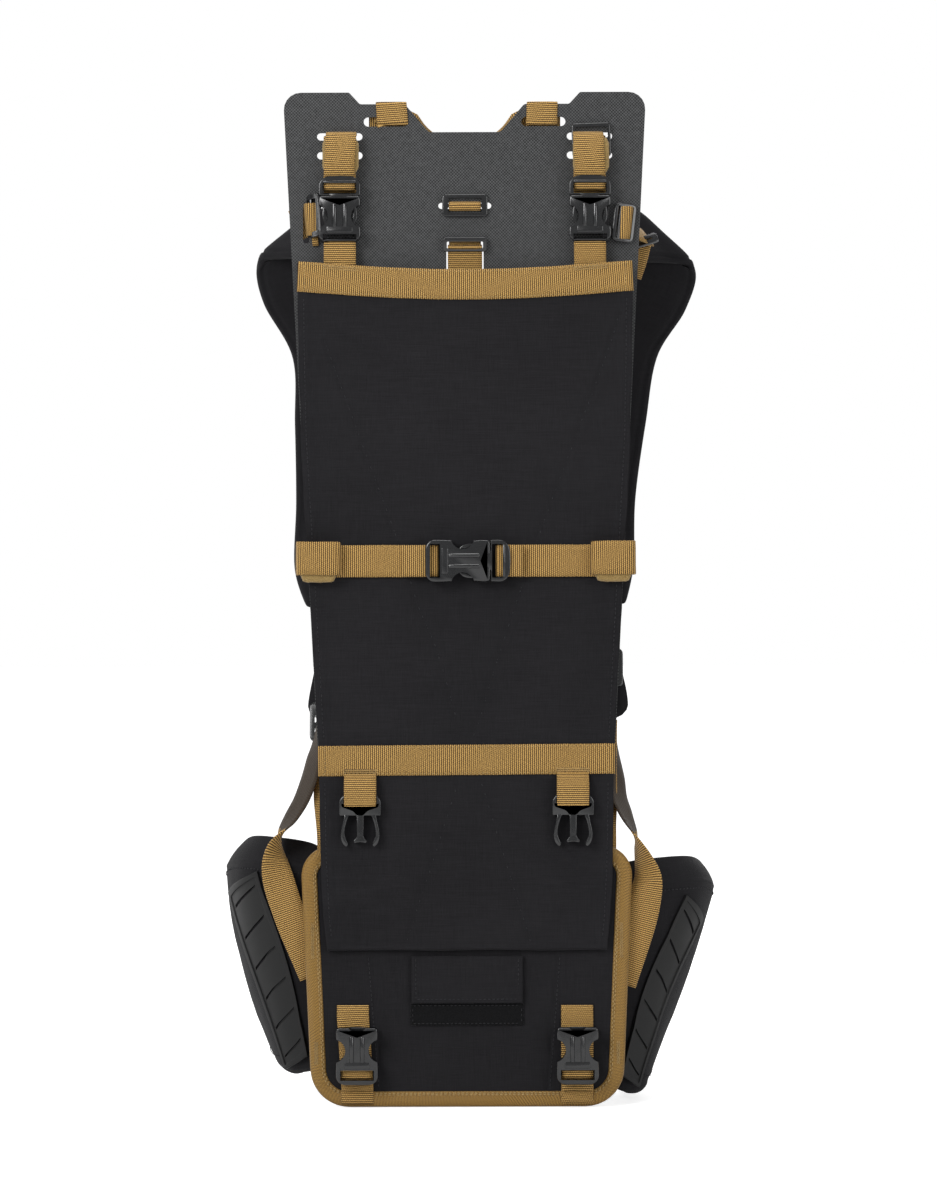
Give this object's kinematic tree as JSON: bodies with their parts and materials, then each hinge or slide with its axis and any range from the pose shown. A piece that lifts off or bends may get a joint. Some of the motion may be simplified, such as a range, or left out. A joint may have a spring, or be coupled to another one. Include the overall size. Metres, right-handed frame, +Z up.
{
  "type": "load-hauling backpack frame",
  "caption": "Flat frame sheet with a fold-down load panel, compression strap, side-release buckles, shoulder harness and padded hip belt.",
  "frame": {"origin": "middle of the lumbar pad's face, where the pack is carried against the wearer's back", "axes": "+Z up, +Y towards the wearer, -Y towards the load, +X to the right seen from the load side"},
  "size_m": [0.3959, 0.2707, 0.804],
  "materials": {
    "carbon_laminate": "satin woven carbon-fibre laminate",
    "tan_webbing": "ribbed nylon webbing",
    "black_fabric": "matte woven nylon",
    "black_plastic": "satin acetal",
    "rubber": "matte moulded rubber"
  },
  "bodies": {
    "pack": {"frame_sheet": "carbon_laminate", "haul_handle": "tan_webbing", "handle_loops": "tan_webbing", "top_straps": "tan_webbing", "triglides": "black_plastic", "frame_ladder_locks": "black_plastic", "lifter_anchors": "tan_webbing", "load_panel_anchor": "black_fabric", "compression_anchors": "tan_webbing", "lower_panel": "black_fabric", "lower_panel_binding": "tan_webbing", "flap_loop_strip": "black_fabric", "base_webbing": "tan_webbing", "torso_strap": "tan_webbing", "yoke_pad": "black_fabric", "back_pad": "black_fabric", "lumbar_pad": "black_fabric", "strap_tails": "tan_webbing"},
    "load_panel": {"load_panel": "black_fabric", "load_panel_top_bar": "tan_webbing", "load_panel_lower_bar": "tan_webbing", "top_tabs": "tan_webbing", "top_sockets": "black_plastic", "lower_tabs": "tan_webbing"},
    "top_plug_left": {"top_plug_left": "black_plastic", "top_tail_left": "tan_webbing"},
    "top_plug_right": {"top_plug_right": "black_plastic", "top_tail_right": "tan_webbing"},
    "lower_plug_left": {"lower_plug_left": "black_plastic"},
    "lower_plug_right": {"lower_plug_right": "black_plastic"},
    "compression_left": {"compression_strap_left": "tan_webbing", "compression_tail_left": "tan_webbing", "compression_socket": "black_plastic"},
    "compression_right": {"compression_strap_right": "tan_webbing", "compression_tail_right": "tan_webbing"},
    "compression_plug": {"compression_plug": "black_plastic", "compression_plug_loop": "tan_webbing"},
    "pocket_flap": {"pocket_flap": "black_fabric"},
    "base_socket_left": {"base_socket_left": "black_plastic"},
    "base_socket_right": {"base_socket_right": "black_plastic"},
    "shoulder_left": {"shoulder_pad_left": "black_fabric", "shoulder_lock_left": "black_plastic"},
    "shoulder_right": {"shoulder_pad_right": "black_fabric", "shoulder_lock_right": "black_plastic"},
    "lifter_left": {"lifter_strap_left": "tan_webbing"},
    "lifter_right": {"lifter_strap_right": "tan_webbing"},
    "lower_strap_left": {"lower_strap_left": "tan_webbing"},
    "lower_strap_right": {"lower_strap_right": "tan_webbing"},
    "hip_wing_left": {"hip_wing_left": "black_fabric", "grip_panel_left": "rubber", "belt_strap_left": "tan_webbing", "belt_socket": "black_plastic"},
    "hip_wing_right": {"hip_wing_right": "black_fabric", "grip_panel_right": "rubber", "belt_strap_right": "tan_webbing"},
    "belt_plug": {"belt_plug": "black_plastic"},
    "sternum_left": {"sternum_strap_left": "tan_webbing", "sternum_socket": "black_plastic"},
    "sternum_right": {"sternum_strap_right": "tan_webbing"},
    "sternum_plug": {"sternum_plug": "black_plastic"}
  },
  "joints": [
    {"name": "load_panel_fold", "type": "hinge", "parent": "pack", "child": "load_panel", "pos_m": [0, -0.03965, 0.0124], "axis": [1, 0, 0], "range_deg": [0, 150]},
    {"name": "top_plug_left_slide", "type": "slide", "parent": "pack", "child": "top_plug_left", "axis": [0, 0, 1], "range_m": [0, 0.024]},
    {"name": "lower_plug_left_swing", "type": "hinge", "parent": "load_panel", "child": "lower_plug_left", "pos_m": [-0.084, -0.045, 0.131], "axis": [-1, 0, 0], "range_deg": [0, 100]},
    {"name": "top_plug_right_slide", "type": "slide", "parent": "pack", "child": "top_plug_right", "axis": [0, 0, 1], "range_m": [0, 0.024]},
    {"name": "lower_plug_right_swing", "type": "hinge", "parent": "load_panel", "child": "lower_plug_right", "pos_m": [0.084, -0.045, 0.131], "axis": [-1, 0, 0], "range_deg": [0, 100]},
    {"name": "compression_left_swing", "type": "hinge", "parent": "pack", "child": "compression_left", "pos_m": [-0.13, -0.0258, 0.3172], "axis": [0, 0, -1], "range_deg": [0, 165]},
    {"name": "compression_right_swing", "type": "hinge", "parent": "pack", "child": "compression_right", "pos_m": [0.13, -0.0258, 0.3172], "axis": [0, 0, 1], "range_deg": [0, 165]},
    {"name": "compression_plug_slide", "type": "slide", "parent": "compression_right", "child": "compression_plug", "axis": [1, 0, 0], "range_m": [0, 0.026]},
    {"name": "pocket_flap_fold", "type": "hinge", "parent": "pack", "child": "pocket_flap", "pos_m": [0, -0.0367, 0.0045], "axis": [1, 0, 0], "range_deg": [-90, 0]},
    {"name": "base_socket_left_slide", "type": "slide", "parent": "pack", "child": "base_socket_left", "axis": [0, 0, 1], "range_m": [-0.006, 0.018]},
    {"name": "base_socket_right_slide", "type": "slide", "parent": "pack", "child": "base_socket_right", "axis": [0, 0, 1], "range_m": [-0.006, 0.018]},
    {"name": "shoulder_left_swing", "type": "hinge", "parent": "pack", "child": "shoulder_left", "pos_m": [-0.06, -0.0127, 0.523], "axis": [1, 0, 0], "range_deg": [0, 20]},
    {"name": "lifter_left_swing", "type": "hinge", "parent": "pack", "child": "lifter_left", "pos_m": [-0.141, -0.0193, 0.5845], "axis": [1, 0, 0], "range_deg": [0, 32]},
    {"name": "lower_strap_left_swing", "type": "hinge", "parent": "pack", "child": "lower_strap_left", "pos_m": [-0.13, -0.0217, 0.107], "axis": [1, 0, 0], "range_deg": [-16, 0]},
    {"name": "shoulder_right_swing", "type": "hinge", "parent": "pack", "child": "shoulder_right", "pos_m": [0.06, -0.0127, 0.523], "axis": [1, 0, 0], "range_deg": [0, 20]},
    {"name": "lifter_right_swing", "type": "hinge", "parent": "pack", "child": "lifter_right", "pos_m": [0.141, -0.0193, 0.5845], "axis": [1, 0, 0], "range_deg": [0, 32]},
    {"name": "lower_strap_right_swing", "type": "hinge", "parent": "pack", "child": "lower_strap_right", "pos_m": [0.13, -0.0217, 0.107], "axis": [1, 0, 0], "range_deg": [-16, 0]},
    {"name": "hip_wing_left_swing", "type": "hinge", "parent": "pack", "child": "hip_wing_left", "pos_m": [-0.1126, -0.0083, 0.002], "axis": [0, 0, 1], "range_deg": [0, 12]},
    {"name": "hip_wing_right_swing", "type": "hinge", "parent": "pack", "child": "hip_wing_right", "pos_m": [0.1126, -0.0083, 0.002], "axis": [0, 0, -1], "range_deg": [0, 12]},
    {"name": "belt_plug_slide", "type": "slide", "parent": "hip_wing_right", "child": "belt_plug", "axis": [1, 0, 0], "range_m": [0, 0.012]},
    {"name": "sternum_left_height", "type": "slide", "parent": "shoulder_left", "child": "sternum_left", "axis": [0, 0, 1], "range_m": [-0.024, 0.024]},
    {"name": "sternum_right_height", "type": "slide", "parent": "shoulder_right", "child": "sternum_right", "axis": [0, 0, 1], "range_m": [-0.024, 0.024]},
    {"name": "sternum_plug_slide", "type": "slide", "parent": "sternum_right", "child": "sternum_plug", "axis": [1, 0, 0], "range_m": [0, 0.026]}
  ],
  "couplings": [
    {"joint": "shoulder_right_swing", "follows": "shoulder_left_swing", "ratio": 1},
    {"joint": "lifter_left_swing", "follows": "shoulder_left_swing", "ratio": 1.6},
    {"joint": "lifter_right_swing", "follows": "shoulder_left_swing", "ratio": 1.6},
    {"joint": "lower_strap_left_swing", "follows": "shoulder_left_swing", "ratio": -0.8},
    {"joint": "lower_strap_right_swing", "follows": "shoulder_left_swing", "ratio": -0.8},
    {"joint": "sternum_right_height", "follows": "sternum_left_height", "ratio": 1}
  ]
}
